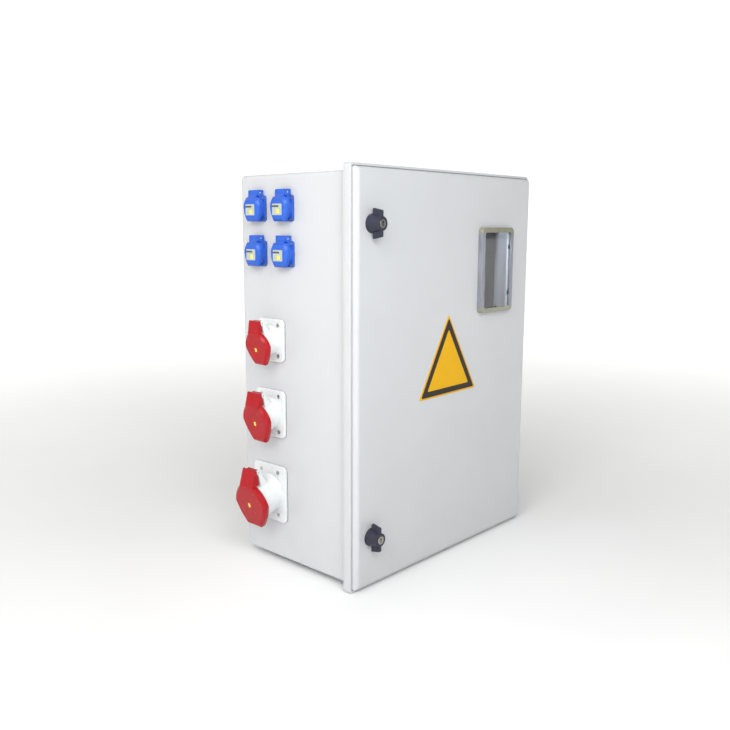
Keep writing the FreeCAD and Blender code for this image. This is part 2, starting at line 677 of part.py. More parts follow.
def build_sockets():
    """All seven sockets with their lids, pins, springs, screws, gaskets and contacts."""
    pins, springs, screws, gaskets, contacts, inserts = [], [], [], [], [], []
    number = 0
    for z in DOMESTIC_Z:
        for y in DOMESTIC_Y:
            number += 1
            keep(f"domestic_socket_{number}", on_left_wall(domestic_socket(), y, z))
            keep(f"domestic_lid_{number}", on_left_wall(lid_shape(DOMESTIC_LID), y, z))
            s, t = DOMESTIC_LID["hinge_s"], DOMESTIC_LID["hinge_t"]
            half = DOMESTIC_KNUCKLE_HALF + CLEAR + LID_EAR - 0.1
            pins.append(on_left_wall(lid_pin(s, t, half), y, z))
            springs.append(on_left_wall(lid_spring(s, t), y, z))
            gasket = flange_gasket(
                *DOMESTIC_FLANGE, DOMESTIC_FLANGE_CORNER, DOMESTIC_CUP_R,
                *DOMESTIC_SCREW_PITCH, DOMESTIC_SCREW_R,
            )
            gaskets.append(on_left_wall(gasket, y, z))
            contacts.extend(on_left_wall(c, y, z) for c in domestic_contacts())
            for dy, dz in corners_of(*DOMESTIC_SCREW_PITCH):
                screw = flange_screw(dy, dz, DOMESTIC_FLANGE_T, DOMESTIC_SCREW_R)
                screws.append(on_left_wall(screw, y, z))
    for kind in INDUSTRIAL:
        y, z = kind["y"], kind["z"]
        lid = industrial_lid(kind)
        shape = tilted(lid_shape(lid), INDUSTRIAL_SLOPE)
        keep(f"industrial_socket_{kind['amps']}", on_left_wall(industrial_socket(kind), y, z))
        keep(f"industrial_lid_{kind['amps']}", on_left_wall(shape, y, z))
        half = lid["knuckle_half"] + CLEAR + LID_EAR - 0.1
        pin = tilted(lid_pin(lid["hinge_s"], lid["hinge_t"], half), INDUSTRIAL_SLOPE)
        pins.append(on_left_wall(pin, y, z))
        spring = tilted(lid_spring(lid["hinge_s"], lid["hinge_t"]), INDUSTRIAL_SLOPE)
        springs.append(on_left_wall(spring, y, z))
        gasket = flange_gasket(
            *kind["flange"], INDUSTRIAL_FLANGE_CORNER, industrial_cup_r(kind),
            *kind["pitch"], SOCKET_SCREW_R,
        )
        gaskets.append(on_left_wall(gasket, y, z))
        inserts.extend(on_left_wall(piece, y, z) for piece in industrial_insert(kind))
        contacts.extend(on_left_wall(c, y, z) for c in industrial_contacts(kind))
        for dy, dz in corners_of(*kind["pitch"]):
            screw = flange_screw(dy, dz, INDUSTRIAL_FLANGE_T, SOCKET_SCREW_R)
            screws.append(on_left_wall(screw, y, z))
    keep("lid_hinge_pins", pins)
    keep("lid_springs", springs)
    keep("socket_screws", screws)
    keep("socket_gaskets", gaskets)
    keep("socket_contacts", contacts)
    keep("industrial_inserts", inserts)


def socket_cutouts():
    """Holes through the left wall for every socket's rear cup and screws."""
    tools = []
    x0, x1 = -BODY_HALF - 1, -INSIDE_HALF + 1
    places = [(y, z, DOMESTIC_CUP_R, DOMESTIC_SCREW_R, *DOMESTIC_SCREW_PITCH)
              for z in DOMESTIC_Z for y in DOMESTIC_Y]
    places += [(k["y"], k["z"], industrial_cup_r(k), SOCKET_SCREW_R, *k["pitch"]) for k in INDUSTRIAL]
    for y, z, cup_r, screw_r, pitch_y, pitch_z in places:
        tools.append(along_x(y, z, x0, x1, cup_r + CUP_GAP))
        for dy, dz in corners_of(pitch_y, pitch_z):
            tools.append(along_x(y + dy, z + dz, x0, x1, screw_r + SEAT))
    return tools


# ---------------------------------------------------------------- enclosure body

def mitred_sides(shell, y0, y1, outer, inner, past):
    """The shell's four sides between two planes, meeting on lines through its corners."""
    near = [(outer[0], outer[2]), (outer[1], outer[2]), (outer[1], outer[3]), (outer[0], outer[3])]
    far = [(inner[0], inner[2]), (inner[1], inner[2]), (inner[1], inner[3]), (inner[0], inner[3])]
    deep = [(a + (c - a) * past, b + (d - b) * past) for (a, b), (c, d) in zip(near, far)]
    sides = []
    for k in range(4):
        n = (k + 1) % 4
        points = [(x, y0, z) for x, z in (near[k], near[n], deep[n], deep[k])]
        sides.append(shell.common(prism(points, (0, y1 - y0, 0))))
    return sides


def body_walls(shell):
    """The one moulding as walls that meet face to face: lip, sealing land, side walls and back."""
    rim = (-HALF, HALF, 0, HEIGHT)
    lip = (-HALF + LIP, HALF - LIP, LIP, HEIGHT - LIP)
    mouth = (
        -INSIDE_HALF + LAND_REACH, INSIDE_HALF - LAND_REACH_HINGE,
        INSIDE_BOTTOM + LAND_REACH, INSIDE_TOP - LAND_REACH,
    )
    body = (-BODY_HALF, BODY_HALF, BODY_BOTTOM, BODY_TOP)
    inside = (-INSIDE_HALF, INSIDE_HALF, INSIDE_BOTTOM, INSIDE_TOP)
    walls = mitred_sides(shell, 0, LAND_FRONT, rim, lip, 3.0)
    walls += mitred_sides(shell, LAND_FRONT, RIM_DEPTH, rim, mouth, 1.3)
    walls += mitred_sides(shell, RIM_DEPTH, BACK_INSIDE, body, inside, 3.0)
    walls.append(shell.common(slab(-HALF, HALF, BACK_INSIDE, DEPTH, 0, HEIGHT)))
    return walls


def build_body():
    """Moulded box with its drip rim, sealing land, plate bosses, fixing holes and cut-outs."""
    outer = rounded_slab(-BODY_HALF, BODY_HALF, BODY_BOTTOM, BODY_TOP, LAND_FRONT, DEPTH, BODY_CORNER)
    back_edges = edges_at(outer, lambda p: abs(p.y - DEPTH) < 1e-6)
    outer = outer.makeFillet(5.0, back_edges)
    rim = rounded_slab(-HALF, HALF, 0, HEIGHT, 0, RIM_DEPTH, RIM_CORNER)
    rim = rim.makeFillet(1.5, edges_at(rim, lambda p: abs(p.y) < 1e-6))
    whole = outer.fuse(rim)
    gutter = rounded_slab(-HALF + LIP, HALF - LIP, LIP, HEIGHT - LIP, -1, LAND_FRONT, RIM_CORNER - 2)
    mouth = rounded_slab(
        -INSIDE_HALF + LAND_REACH, INSIDE_HALF - LAND_REACH_HINGE,
        INSIDE_BOTTOM + LAND_REACH, INSIDE_TOP - LAND_REACH, -1, RIM_DEPTH + 1, 6.0,
    )
    inside = rounded_slab(
        -INSIDE_HALF, INSIDE_HALF, INSIDE_BOTTOM, INSIDE_TOP,
        RIM_DEPTH, BACK_INSIDE, BODY_CORNER - WALL + 1,
    )
    shell = cut_all(whole, [gutter, mouth, inside])
    bosses = []
    for x in (-PLATE_SCREW_X, PLATE_SCREW_X):
        for z in PLATE_SCREW_Z:
            boss = along_y(x, z, PLATE_BACK, BACK_INSIDE, 9.0)
            bosses.append(boss.cut(along_y(x, z, PLATE_BACK - 1, PLATE_BACK + 18, 3.0 + SEAT)))
    for x in (-BODY_HALF + FIXING_INSET, BODY_HALF - FIXING_INSET):
        for z in (BODY_BOTTOM + FIXING_INSET, BODY_TOP - FIXING_INSET):
            shell = shell.cut(along_y(x, z, BACK_INSIDE - 1, DEPTH + 1, FIXING_R))
    shell = shell.cut(along_x(GLAND_Y, GLAND_Z, INSIDE_HALF - 1, BODY_HALF + 1, GLAND_THREAD_R + 0.3))
    for x in (-FOOT_X, FOOT_X):
        for y in FOOT_Y:
            shell = shell.cut(along_z(x, y, BODY_BOTTOM - 1, INSIDE_BOTTOM + 1, 3.0 + SEAT))
    shell = cut_all(shell, socket_cutouts())
    keep("body_shell", body_walls(shell) + bosses)


def build_feet():
    """Round rubber feet with a plug that holds each in the bottom wall."""
    feet = []
    for x in (-FOOT_X, FOOT_X):
        for y in FOOT_Y:
            pad = Part.makeCone(FOOT_R - 2, FOOT_R, BODY_BOTTOM, V(x, y, 0))
            feet.append(pad.fuse(along_z(x, y, BODY_BOTTOM - 0.5, INSIDE_BOTTOM + 3, 3.0)))
    keep("rubber_feet", feet)


# ---------------------------------------------------------------- door

def seal_ring(y0, y1, inset):
    """Rectangular ring on the door's sealing line."""
    outer = (SEAL_LEFT + inset, SEAL_RIGHT - inset, SEAL_BOTTOM + inset, SEAL_TOP - inset)
    inner_step = GASKET_WIDTH - 2 * inset
    inner = (outer[0] + inner_step, outer[1] - inner_step, outer[2] + inner_step, outer[3] - inner_step)
    return ring_slab(outer, inner, y0, y1, 5.0, 2.0)


def build_door():
    """Door tray with rounded front edges, sealing rib, hinge lugs and its openings."""
    tray = rounded_slab(
        -DOOR_HALF, DOOR_HALF, DOOR_BOTTOM, DOOR_TOP, DOOR_FRONT, DOOR_SKIRT_BACK, RIM_CORNER - 2,
    )
    tray = tray.makeFillet(DOOR_ROUND - 0.05, edges_at(tray, lambda p: abs(p.y - DOOR_FRONT) < 1e-6))
    hollow = rounded_slab(
        -DOOR_HALF + DOOR_WALL, DOOR_HALF - DOOR_WALL, DOOR_BOTTOM + DOOR_WALL, DOOR_TOP - DOOR_WALL,
        DOOR_INSIDE, DOOR_SKIRT_BACK + 1, 3.0,
    )
    door = tray.cut(hollow)
    door = door.fuse(seal_ring(DOOR_INSIDE - 1, GASKET_FRONT, 0))
    for z in HINGE_HEIGHTS:
        half = HINGE_KNUCKLE_LENGTH / 2
        notch = slab(
            HINGE_X + 2, DOOR_HALF + 1, 0, DOOR_SKIRT_BACK + 1,
            z - half - CLEAR - HINGE_LUG_LENGTH, z + half + CLEAR + HINGE_LUG_LENGTH,
        )
        door = door.cut(notch)
        for z0 in (z - half - CLEAR - HINGE_LUG_LENGTH, z + half + CLEAR):
            z1 = z0 + HINGE_LUG_LENGTH
            stem = slab(
                HINGE_X - HINGE_KNUCKLE_R, HINGE_X + HINGE_KNUCKLE_R, DOOR_INSIDE - 1, HINGE_Y, z0, z1
            )
            lug = along_z(HINGE_X, HINGE_Y, z0, z1, HINGE_KNUCKLE_R).fuse(stem)
            door = door.fuse(lug)
            door = door.cut(along_z(HINGE_X, HINGE_Y, z0 - 1, z1 + 1, HINGE_PIN_R + SEAT))
    for z in LOCK_HEIGHTS.values():
        door = door.cut(along_y(LOCK_X, z, DOOR_FRONT - 1, DOOR_INSIDE + 1, LOCK_BUSH_R + SEAT))
    door = door.cut(window_hole())
    keep("door_shell", door)
    keep("door_gasket", seal_ring(GASKET_FRONT, GASKET_BACK, 0.3))


def build_hinges():
    """Three steel brackets on the sealing land, and the pins that join them to the door's lugs."""
    brackets, pins = [], []
    for z in HINGE_HEIGHTS:
        half = HINGE_KNUCKLE_LENGTH / 2
        z0 = z - half
        base_x0 = SEAL_RIGHT + 1.5
        base = slab(base_x0, HINGE_X - 1, LAND_FRONT - HINGE_ARM, LAND_FRONT, z0, z0 + 2 * half)
        reach = LAND_FRONT - HINGE_Y
        w = HINGE_ARM / math.sqrt(2)
        arm = prism(
            [
                (HINGE_X - w / 2, HINGE_Y - w / 2, z0),
                (HINGE_X + w / 2, HINGE_Y + w / 2, z0),
                (HINGE_X - reach + w / 2 + 0.5, LAND_FRONT - 0.5, z0),
                (HINGE_X - reach - w / 2 + 0.5, LAND_FRONT - 0.5 - w / 2, z0),
            ],
            (0, 0, 2 * half),
        )
        knuckle = along_z(HINGE_X, HINGE_Y, z0, z0 + 2 * half, HINGE_KNUCKLE_R)
        bracket = fuse_all([base, arm, knuckle])
        bracket = bracket.cut(along_z(HINGE_X, HINGE_Y, z0 - 1, z0 + 2 * half + 1, HINGE_PIN_R + RUNNING))
        brackets.append(bracket)
        length = half + CLEAR + HINGE_LUG_LENGTH
        pins.append(along_z(HINGE_X, HINGE_Y, z - length, z + length, HINGE_PIN_R))
    keep("hinge_brackets", brackets)
    keep("hinge_pins", pins)


# ---------------------------------------------------------------- window

def window_box(inset, y0, y1, corner):
    """Slab of the window's outline, drawn in by an inset."""
    half_x, half_z = WINDOW_WIDTH / 2 - inset, WINDOW_HEIGHT / 2 - inset
    return rounded_slab(
        WINDOW_X - half_x, WINDOW_X + half_x, WINDOW_Z - half_z, WINDOW_Z + half_z, y0, y1, corner
    )


def window_hole():
    """Opening in the door behind the window."""
    return window_box(WINDOW_BORDER - PANE_REBATE, DOOR_FRONT - 1, DOOR_INSIDE + 1, 4.0)


def build_window():
    """Raised frame, clear pane in its rebate and the small clips that hold the pane."""
    front = DOOR_FRONT - WINDOW_PROUD
    frame = window_box(0, front, DOOR_FRONT, WINDOW_CORNER)
    frame = frame.makeFillet(3.0, edges_at(frame, lambda p: abs(p.y - front) < 1e-6))
    frame = frame.cut(window_box(WINDOW_BORDER, front - 1, DOOR_FRONT + 1, 4.0))
    rebate_front = front + PANE_THICKNESS
    frame = frame.cut(window_box(WINDOW_BORDER - PANE_REBATE, rebate_front, DOOR_FRONT + 1, 4.0))
    pane = window_box(
        WINDOW_BORDER - PANE_REBATE + SEAT, rebate_front, rebate_front + PANE_THICKNESS, 3.9,
    )
    clips = []
    clip_y = rebate_front + PANE_THICKNESS
    half_x = WINDOW_WIDTH / 2 - WINDOW_BORDER + PANE_REBATE - SEAT
    half_z = WINDOW_HEIGHT / 2 - WINDOW_BORDER + PANE_REBATE - SEAT
    for side in (-1, 1):
        for dz in (0.27 * WINDOW_HEIGHT, -0.27 * WINDOW_HEIGHT):
            x0, x1 = sorted((WINDOW_X + side * half_x, WINDOW_X + side * (half_x - 5)))
            clips.append(slab(x0, x1, clip_y, clip_y + 2, WINDOW_Z + dz - 4, WINDOW_Z + dz + 4))
        z0, z1 = sorted((WINDOW_Z + side * half_z, WINDOW_Z + side * (half_z - 5)))
        clips.append(slab(WINDOW_X - 4, WINDOW_X + 4, clip_y, clip_y + 2, z0, z1))
    keep("window_frame", frame)
    keep("window_pane", pane)
    keep("window_clips", clips)


# ---------------------------------------------------------------- triangular plate

def build_front_plate():
    """Blank triangular plate on the door, set slightly askew."""
    radius = PLATE_SIDE / math.sqrt(3)
    turns = [math.radians(90 + 120 * k + PLATE_TILT) for k in range(3)]
    points = [
        (PLATE_X + radius * math.cos(a), DOOR_FRONT - PLATE_THICKNESS, PLATE_Z + radius * math.sin(a))
        for a in turns
    ]
    plate = prism(points, (0, PLATE_THICKNESS, 0))
    edges = [e for e in plate.Edges if abs(e.tangentAt(e.FirstParameter).y) > 0.99]
    keep("front_plate", plate.makeFillet(PLATE_CORNER, edges))


# ---------------------------------------------------------------- door locks

def build_locks():
    """Winged knobs with key barrels, their bushes in the door and the cams behind it."""
    bushes = []
    for name, z in LOCK_HEIGHTS.items():
        back = DOOR_FRONT - CLEAR
        front = DOOR_FRONT - KNOB_LENGTH
        cone_length = KNOB_LENGTH - CLEAR - KNOB_RIM
        base = Part.makeCone(KNOB_BASE_R, KNOB_NOSE_R, cone_length, V(LOCK_X, back, z), V(0, -1, 0))
        nose = along_y(LOCK_X, z, front, back, KNOB_NOSE_R)
        nose = nose.makeFillet(1.0, edges_at(nose, lambda p: abs(p.y - front) < 1e-6))
        wing_back = DOOR_FRONT - 4.5
        half_t = WING_THICKNESS / 2
        wing = prism(
            [
                (LOCK_X - half_t, wing_back, z - WING_SPAN_BACK / 2),
                (LOCK_X - half_t, wing_back, z + WING_SPAN_BACK / 2),
                (LOCK_X - half_t, front + 1.0, z + WING_SPAN_FRONT / 2),
                (LOCK_X - half_t, front + 1.0, z - WING_SPAN_FRONT / 2),
            ],
            (WING_THICKNESS, 0, 0),
        )
        wing = wing.makeFillet(1.6, wing.Edges)
        shaft = along_y(LOCK_X, z, back - 1, CAM_FRONT - SEAT, LOCK_SHAFT_R)
        tail = slab(LOCK_X - 4, LOCK_X + 4, CAM_FRONT - 1, CAM_FRONT + CAM_THICKNESS + 1.5, z - 4, z + 4)
        knob = fuse_all([base, nose, wing, shaft, tail])
        barrel_back = back - 3.0
        knob = knob.cut(along_y(LOCK_X, z, front - 1, barrel_back, LOCK_BARREL_R + RUNNING))
        keep(f"knob_{name}", knob)
        barrel = along_y(LOCK_X, z, front - 0.4, barrel_back - SEAT, LOCK_BARREL_R)
        barrel = barrel.makeFillet(0.5, edges_at(barrel, lambda p: abs(p.y - front + 0.4) < 1e-6))
        keyway = slab(LOCK_X - 0.9, LOCK_X + 0.9, front - 1, front + 9, z - 4.2, z + 4.2)
        barrel = barrel.cut(keyway).cut(along_y(LOCK_X, z + 2.2, front - 1, front + 9, 1.7))
        keep(f"lock_barrel_{name}", barrel)
        plate = slab(
            LOCK_X - CAM_WIDTH / 2, LOCK_X + CAM_WIDTH / 2, CAM_FRONT, CAM_FRONT + CAM_THICKNESS,
            z - CAM_REACH, z,
        )
        cam = plate.fuse(along_y(LOCK_X, z, CAM_FRONT, CAM_FRONT + CAM_THICKNESS, CAM_WIDTH / 2 + 1))
        hole = 4 + SEAT
        cam = cam.cut(slab(LOCK_X - hole, LOCK_X + hole, CAM_FRONT - 1, CAM_FRONT + 9, z - hole, z + hole))
        keep(f"cam_{name}", cam)
        tube = along_y(LOCK_X, z, DOOR_FRONT, CAM_FRONT - 8, LOCK_BUSH_R)
        nut = along_y(LOCK_X, z, DOOR_INSIDE + 0.05, DOOR_INSIDE + 5, LOCK_BUSH_R + 3)
        bush = tube.fuse(nut).cut(along_y(LOCK_X, z, DOOR_FRONT - 1, CAM_FRONT, LOCK_SHAFT_R + RUNNING))
        bushes.append(bush)
    keep("lock_bushes", bushes)


# ---------------------------------------------------------------- inside: plate, posts, cover

def build_inside():
    """Mounting plate, posts, uprights and rail, cover panel, screws, terminal bars and duct."""
    plate = slab(-PLATE_HALF, PLATE_HALF, PLATE_FRONT, PLATE_BACK, PLATE_BOTTOM, PLATE_TOP)
    screws = []
    for x in (-PLATE_SCREW_X, PLATE_SCREW_X):
        for z in PLATE_SCREW_Z:
            plate = plate.cut(along_y(x, z, PLATE_FRONT - 1, PLATE_BACK + 1, 3.2))
            head = along_y(x, z, PLATE_FRONT - 4, PLATE_FRONT, 5.0)
            screws.append(head.fuse(along_y(x, z, PLATE_FRONT - 0.5, PLATE_BACK + 14, 3.0)))
    keep("mounting_plate", plate)

    posts = []
    uprights = []
    for x in (-UPRIGHT_X, UPRIGHT_X):
        upright = slab(x - 12, x + 12, UPRIGHT_FRONT, UPRIGHT_FRONT + UPRIGHT_T, *UPRIGHT_Z)
        uprights.append(upright)
        for z in (UPRIGHT_Z[0] + 15, UPRIGHT_Z[1] - 15):
            posts.append(along_y(x, z, UPRIGHT_FRONT + UPRIGHT_T, PLATE_FRONT, POST_R))
    cover_back = COVER_Y + COVER_T
    cover = slab(COVER_LEFT, COVER_RIGHT, COVER_Y, cover_back, COVER_BOTTOM, COVER_TOP)
    slot_left = RAIL_DEVICE_RIGHT - 17 * MODULE - 1
    slot_half = NOSE_HEIGHT / 2 + 0.8
    slot = slab(
        slot_left, RAIL_DEVICE_RIGHT + 1, COVER_Y - 1, cover_back + 1,
        RAIL_Z - slot_half, RAIL_Z + slot_half,
    )
    cover = cover.cut(slot)
    for x in (COVER_LEFT + 20, PLATE_HALF - 8):
        for z in (COVER_BOTTOM + COVER_POST_BOTTOM, COVER_TOP - COVER_POST_TOP):
            posts.append(along_y(x, z, cover_back, PLATE_FRONT, POST_R).cut(
                along_y(x, z, cover_back - 1, cover_back + 15, 3.0 + SEAT)))
            cover = cover.cut(along_y(x, z, COVER_Y - 1, cover_back + 1, 3.2))
            head = along_y(x, z, COVER_Y - 4, COVER_Y, 5.5)
            screws.append(head.fuse(along_y(x, z, COVER_Y - 0.5, cover_back + 12, 3.0)))
    keep("spacer_posts", posts)
    keep("rail_uprights", uprights)
    keep("cover_panel", cover)
    keep("panel_screws", screws)

    web = slab(-RAIL_HALF, RAIL_HALF, UPRIGHT_FRONT - RAIL_LIP, UPRIGHT_FRONT, RAIL_Z - 12.5, RAIL_Z + 12.5)
    pieces = [web]
    for side in (-1, 1):
        z0, z1 = sorted((RAIL_Z + side * 12.5, RAIL_Z + side * 13.5))
        pieces.append(slab(-RAIL_HALF, RAIL_HALF, RAIL_FRONT, UPRIGHT_FRONT, z0 - 0.01, z1))
        z0, z1 = sorted((RAIL_Z + side * 12.5, RAIL_Z + side * 17.5))
        pieces.append(slab(-RAIL_HALF, RAIL_HALF, RAIL_FRONT, RAIL_FRONT + RAIL_LIP, z0, z1))
    keep("din_rail", fuse_all(pieces))

    bars = []
    half = TERMINAL_SIDE / 2
    for z in TERMINAL_HEIGHTS:
        bar = slab(-60, 130, PLATE_FRONT - 24, PLATE_FRONT - 14, z - half, z + half)
        for k in range(12):
            bar = bar.cut(along_y(-50 + 15 * k, z, PLATE_FRONT - 30, PLATE_FRONT - 17, 2.2))
        for x in (-55.0, 125.0):
            bar = bar.fuse(slab(x - 5, x + 5, PLATE_FRONT - 14, PLATE_FRONT, z - half, z + half))
        bars.append(bar)
    keep("terminal_bars", bars)

    skin = 2.0
    duct_front = PLATE_FRONT - DUCT_DEEP
    duct_top = DUCT_BOTTOM + DUCT_HEIGHT
    duct = slab(DUCT_LEFT, DUCT_RIGHT, duct_front, PLATE_FRONT, DUCT_BOTTOM, duct_top)
    duct = duct.cut(slab(
        DUCT_LEFT - 1, DUCT_RIGHT + 1, duct_front + skin, PLATE_FRONT - skin,
        DUCT_BOTTOM + skin, duct_top - skin,
    ))
    for k in range(13):
        x = DUCT_LEFT + 15 + 20 * k
        slot = slab(x, x + 8, duct_front + 4, PLATE_FRONT - 15, DUCT_BOTTOM - 10, duct_top + 10)
        duct = duct.cut(slot)
    keep("cable_duct", duct)


# ---------------------------------------------------------------- inside: devices on the rail

TOGGLE_Y = NOSE_FRONT + 5.5


def device_case(x0, modules):
    """Moulded case of a rail device: nose, shoulders and the rail's groove."""
    x1 = x0 + modules * MODULE - MODULE_GAP
    half_nose, half_case = NOSE_HEIGHT / 2, DEVICE_HEIGHT / 2
    shoulder = NOSE_FRONT + DEVICE_SHOULDER
    profile = [
        (x0, NOSE_FRONT, RAIL_Z - half_nose),
        (x0, NOSE_FRONT, RAIL_Z + half_nose),
        (x0, shoulder, RAIL_Z + half_nose),
        (x0, shoulder + 2, RAIL_Z + half_case),
        (x0, RAIL_FRONT - SEAT, RAIL_Z + half_case),
        (x0, RAIL_FRONT - SEAT, RAIL_Z - half_case),
        (x0, shoulder + 2, RAIL_Z - half_case),
        (x0, shoulder, RAIL_Z - half_nose),
    ]
    return prism(profile, (x1 - x0, 0, 0))


def terminal_holes(x0, modules):
    """Screw holes over and under each pole of a device."""
    shoulder = NOSE_FRONT + DEVICE_SHOULDER
    tools = []
    for k in range(modules):
        x = x0 + (k + 0.5) * MODULE - MODULE_GAP / 2
        for side in (-1, 1):
            tools.append(along_y(x, RAIL_Z + side * 33, shoulder - 1, shoulder + 9, 3.2))
    return tools


def toggle_pocket(x, half_width):
    """Room for a toggle's drum and its lever's swing in a device's nose."""
    drum = along_x(TOGGLE_Y, RAIL_Z, x - half_width - CLEAR, x + half_width + CLEAR, TOGGLE_R + CLEAR)
    return drum


def toggle(x, half_width, levers):
    """Rocking toggle; its lever points up and outwards when it is on."""
    drum = along_x(TOGGLE_Y, RAIL_Z, x - half_width, x + half_width, TOGGLE_R)
    pieces = [drum]
    lean = math.radians(90 - TOGGLE_THROW / 2)
    out_y, out_z = -math.sin(lean), math.cos(lean)
    side_y, side_z = out_z * 2.4, -out_y * 2.4
    reach = TOGGLE_R + TOGGLE_LEVER
    for lever_x, lever_half in levers:
        root = [
            (lever_x - lever_half, TOGGLE_Y + side_y, RAIL_Z + side_z),
            (lever_x - lever_half, TOGGLE_Y - side_y, RAIL_Z - side_z),
            (lever_x - lever_half, TOGGLE_Y - side_y * 0.7 + out_y * reach,
             RAIL_Z - side_z * 0.7 + out_z * reach),
            (lever_x - lever_half, TOGGLE_Y + side_y * 0.7 + out_y * reach,
             RAIL_Z + side_z * 0.7 + out_z * reach),
        ]
        pieces.append(prism(root, (2 * lever_half, 0, 0)))
    return fuse_all(pieces)


def build_devices():
    """One row: four one-pole breakers, three three-pole breakers and a residual current switch."""
    x = RAIL_DEVICE_RIGHT - 17 * MODULE
    singles = []
    for k in range(4):
        centre = x + MODULE / 2 - MODULE_GAP / 2
        case = device_case(x, 1).cut(toggle_pocket(centre, 4.5))
        singles.append(cut_all(case, terminal_holes(x, 1)))
        keep(f"single_pole_toggle_{k + 1}", toggle(centre, 4.5, [(centre, 3.8)]))
        x += MODULE
    triples = []
    for k in range(3):
        centre = x + 1.5 * MODULE - MODULE_GAP / 2
        case = device_case(x, 3).cut(toggle_pocket(centre, 22.5))
        triples.append(cut_all(case, terminal_holes(x, 3)))
        levers = [(centre - MODULE, 3.8), (centre, 3.8), (centre + MODULE, 3.8)]
        piece = toggle(centre, 22.5, levers)
        lean = math.radians(90 - TOGGLE_THROW / 2)
        reach = TOGGLE_R + TOGGLE_LEVER - 3
        bar = along_x(
            TOGGLE_Y - math.sin(lean) * reach, RAIL_Z + math.cos(lean) * reach,
            centre - 21.5, centre + 21.5, 1.6,
        )
        keep(f"three_pole_toggle_{k + 1}", piece.fuse(bar))
        x += 3 * MODULE
    centre = x + 2 * MODULE - MODULE_GAP / 2
    lever_x = centre - 14.0
    button_x = centre + 18.0
    case = device_case(x, 4).cut(toggle_pocket(lever_x, 12.0))
    half = BUTTON_SIDE / 2 + CLEAR
    case = case.cut(slab(button_x - half, button_x + half, NOSE_FRONT - 1, NOSE_FRONT + 10,
                         RAIL_Z - half, RAIL_Z + half))
    keep("residual_current_switch", cut_all(case, terminal_holes(x, 4)))
    keep("residual_toggle", toggle(lever_x, 12.0, [(lever_x, 10.0)]))
    half = BUTTON_SIDE / 2
    button = slab(
        button_x - half, button_x + half,
        NOSE_FRONT - 2.2, NOSE_FRONT + 10 - BUTTON_TRAVEL - CLEAR,
        RAIL_Z - half, RAIL_Z + half,
    )
    button = button.makeFillet(0.8, edges_at(button, lambda p: abs(p.y - NOSE_FRONT + 2.2) < 1e-6))
    keep("test_button", button)
    keep("single_pole_breakers", singles)
    keep("three_pole_breakers", triples)


# ---------------------------------------------------------------- supply inlet

def build_gland():
    """Cable gland on the right wall: body with its thread, cap nut and lock nut inside."""
    x0 = BODY_HALF
    body = hexagon_x(GLAND_Y, GLAND_Z, x0, x0 + GLAND_BODY_LENGTH, GLAND_FLATS)
    thread = along_x(GLAND_Y, GLAND_Z, INSIDE_HALF - 14, x0 + 1, GLAND_THREAD_R)
    spigot = along_x(GLAND_Y, GLAND_Z, x0 + GLAND_BODY_LENGTH - 1, x0 + GLAND_BODY_LENGTH + 10, 19.0)
    bore = along_x(GLAND_Y, GLAND_Z, INSIDE_HALF - 20, x0 + 60, GLAND_BORE_R)
    keep("cable_gland", fuse_all([body, thread, spigot]).cut(bore))
    cap0 = x0 + GLAND_BODY_LENGTH
    cap = hexagon_x(GLAND_Y, GLAND_Z, cap0, cap0 + 12, GLAND_FLATS - 2)
    dome = Part.makeCone(22.0, 18.0, GLAND_CAP_LENGTH - 12, V(cap0 + 12, GLAND_Y, GLAND_Z), V(1, 0, 0))
    cap = cap.fuse(dome).cut(bore)
    cap = cap.cut(along_x(GLAND_Y, GLAND_Z, cap0 - 1, cap0 + 10 + SEAT, 19.0 + SEAT))
    keep("gland_cap_nut", cap)
    nut = hexagon_x(GLAND_Y, GLAND_Z, INSIDE_HALF - 8, INSIDE_HALF, GLAND_FLATS + 4)
    keep("gland_lock_nut", nut.cut(along_x(GLAND_Y, GLAND_Z, 0, BODY_HALF, GLAND_THREAD_R + SEAT)))


# ---------------------------------------------------------------- write the parts

def main():
    os.makedirs("parts", exist_ok=True)
    build_body()
    build_feet()
    build_door()
    build_hinges()
    build_window()
    build_front_plate()
    build_locks()
    build_sockets()
    build_inside()
    build_devices()
    build_gland()
    for name, solids in PARTS.items():
        shape = solids[0] if len(solids) == 1 else Part.makeCompound(solids)
        shape = shape.copy()
        shape.translate(FOOTPRINT_SHIFT)
        shape.exportStep(f"parts/{name}.step")


main()
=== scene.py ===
import json
import math

import bmesh
import bpy
from mathutils import Matrix, Vector
from mathutils.bvhtree import BVHTree


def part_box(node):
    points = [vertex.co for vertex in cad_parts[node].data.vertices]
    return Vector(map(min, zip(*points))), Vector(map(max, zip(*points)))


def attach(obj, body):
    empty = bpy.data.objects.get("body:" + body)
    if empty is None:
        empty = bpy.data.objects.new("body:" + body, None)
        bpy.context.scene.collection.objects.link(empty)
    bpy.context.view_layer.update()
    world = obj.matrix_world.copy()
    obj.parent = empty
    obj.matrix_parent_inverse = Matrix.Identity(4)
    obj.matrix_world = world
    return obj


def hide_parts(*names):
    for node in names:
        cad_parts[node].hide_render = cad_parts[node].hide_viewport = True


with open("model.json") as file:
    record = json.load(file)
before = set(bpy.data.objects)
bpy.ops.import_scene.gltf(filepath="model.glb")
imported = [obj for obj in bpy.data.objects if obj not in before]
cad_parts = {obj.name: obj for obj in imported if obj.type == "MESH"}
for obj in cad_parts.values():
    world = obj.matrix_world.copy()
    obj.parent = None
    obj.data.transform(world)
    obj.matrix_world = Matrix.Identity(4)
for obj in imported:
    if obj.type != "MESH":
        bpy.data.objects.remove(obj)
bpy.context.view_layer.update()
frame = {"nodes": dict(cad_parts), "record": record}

NODES = frame["nodes"]
SLOT_OF = {part["node"]: part["material_slot"] for part in frame["record"]["subparts"]}
MM = 0.001
SHELL_LOW, SHELL_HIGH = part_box("body_shell")
